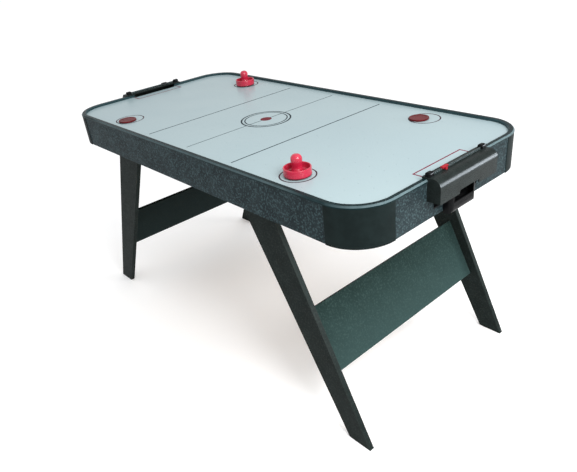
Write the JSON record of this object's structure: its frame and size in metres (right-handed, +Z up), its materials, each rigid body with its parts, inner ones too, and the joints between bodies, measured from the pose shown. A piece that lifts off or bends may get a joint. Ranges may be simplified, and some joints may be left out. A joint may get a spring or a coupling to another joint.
{
  "type": "air hockey table",
  "caption": "Long table with rounded corners, pale perforated playfield, low dark rails, boxed goals with score sliders at both ends and splayed plank legs joined by slanted end panels.",
  "frame": {"origin": "on the floor under the middle of the table", "axes": "+X along the table's length, +Y across it, +Z up"},
  "size_m": [1.6, 0.738, 0.8148],
  "materials": {
    "dark_laminate": "satin printed laminate on board",
    "corner_plastic": "satin",
    "rail_plastic": "satin",
    "field_laminate": "smooth pale laminate",
    "raw_board": "bare fibreboard",
    "goal_plastic": "satin moulded",
    "red_plastic": "polished moulded",
    "felt": "napped",
    "steel": "zinc plated",
    "motor_metal": "satin",
    "black_plastic": "satin"
  },
  "bodies": {
    "table": {"blower_housing": "black_plastic", "blower_motor": "motor_metal", "blower_screws": "steel", "bracket_screws": "steel", "chamber_end_left": "raw_board", "chamber_end_right": "raw_board", "chamber_floor": "raw_board", "chamber_side_back": "raw_board", "chamber_side_front": "raw_board", "control_plate": "black_plastic", "corner_left_back": "corner_plastic", "corner_left_front": "corner_plastic", "corner_rail_left_back": "rail_plastic", "corner_rail_left_front": "rail_plastic", "corner_rail_right_back": "rail_plastic", "corner_rail_right_front": "rail_plastic", "corner_right_back": "corner_plastic", "corner_right_front": "corner_plastic", "end_apron_left": "dark_laminate", "end_apron_right": "dark_laminate", "end_panel_left": "dark_laminate", "end_panel_right": "dark_laminate", "end_rail_left_back": "rail_plastic", "end_rail_left_front": "rail_plastic", "end_rail_right_back": "rail_plastic", "end_rail_right_front": "rail_plastic", "goal_housing_left": "goal_plastic", "goal_housing_right": "goal_plastic", "intake_grille": "black_plastic", "leg_bolts": "steel", "leg_left_back": "dark_laminate", "leg_left_front": "dark_laminate", "leg_right_back": "dark_laminate", "leg_right_front": "dark_laminate", "motor_bridge": "steel", "panel_brackets": "steel", "playfield": "field_laminate", "power_inlet": "black_plastic", "return_tray_left": "goal_plastic", "return_tray_right": "goal_plastic", "rib_left": "raw_board", "rib_right": "raw_board", "score_strip_left": "goal_plastic", "score_strip_right": "goal_plastic", "side_apron_back": "dark_laminate", "side_apron_front": "dark_laminate", "side_rail_back": "rail_plastic", "side_rail_front": "rail_plastic"},
    "puck_left_body": {"puck_left": "red_plastic"},
    "puck_right_body": {"puck_right": "red_plastic"},
    "pusher_left_body": {"pusher_left": "red_plastic", "felt_left": "felt"},
    "pusher_right_body": {"pusher_right": "red_plastic", "felt_right": "felt"},
    "score_slider_left_body": {"score_slider_left": "black_plastic"},
    "score_slider_right_body": {"score_slider_right": "red_plastic"},
    "blower_wheel": {"impeller": "black_plastic", "motor_shaft": "steel"},
    "rocker": {"rocker_switch": "black_plastic"}
  },
  "joints": [
    {"name": "puck_left_slide", "type": "slide", "parent": "table", "child": "puck_left_body", "axis": [1, 0, 0], "range_m": [-0.25, 0.4]},
    {"name": "puck_right_slide", "type": "slide", "parent": "table", "child": "puck_right_body", "axis": [1, 0, 0], "range_m": [-0.4, 0.26]},
    {"name": "pusher_left_slide", "type": "slide", "parent": "table", "child": "pusher_left_body", "axis": [1, 0, 0], "range_m": [-0.25, 0.41]},
    {"name": "pusher_right_slide", "type": "slide", "parent": "table", "child": "pusher_right_body", "axis": [1, 0, 0], "range_m": [-0.41, 0.235]},
    {"name": "score_right_slide", "type": "slide", "parent": "table", "child": "score_slider_right_body", "axis": [0, 1, 0], "range_m": [-0.032, 0.148]},
    {"name": "score_left_slide", "type": "slide", "parent": "table", "child": "score_slider_left_body", "axis": [0, 1, 0], "range_m": [-0.148, 0.032]},
    {"name": "blower_spin", "type": "hinge", "parent": "table", "child": "blower_wheel", "pos_m": [0, 0, 0.646], "axis": [0, 0, 1], "continuous": true},
    {"name": "rocker_tilt", "type": "hinge", "parent": "table", "child": "rocker", "pos_m": [-0.571, 0.3656, 0.7], "axis": [1, 0, 0], "range_deg": [-16, 0]}
  ]
}
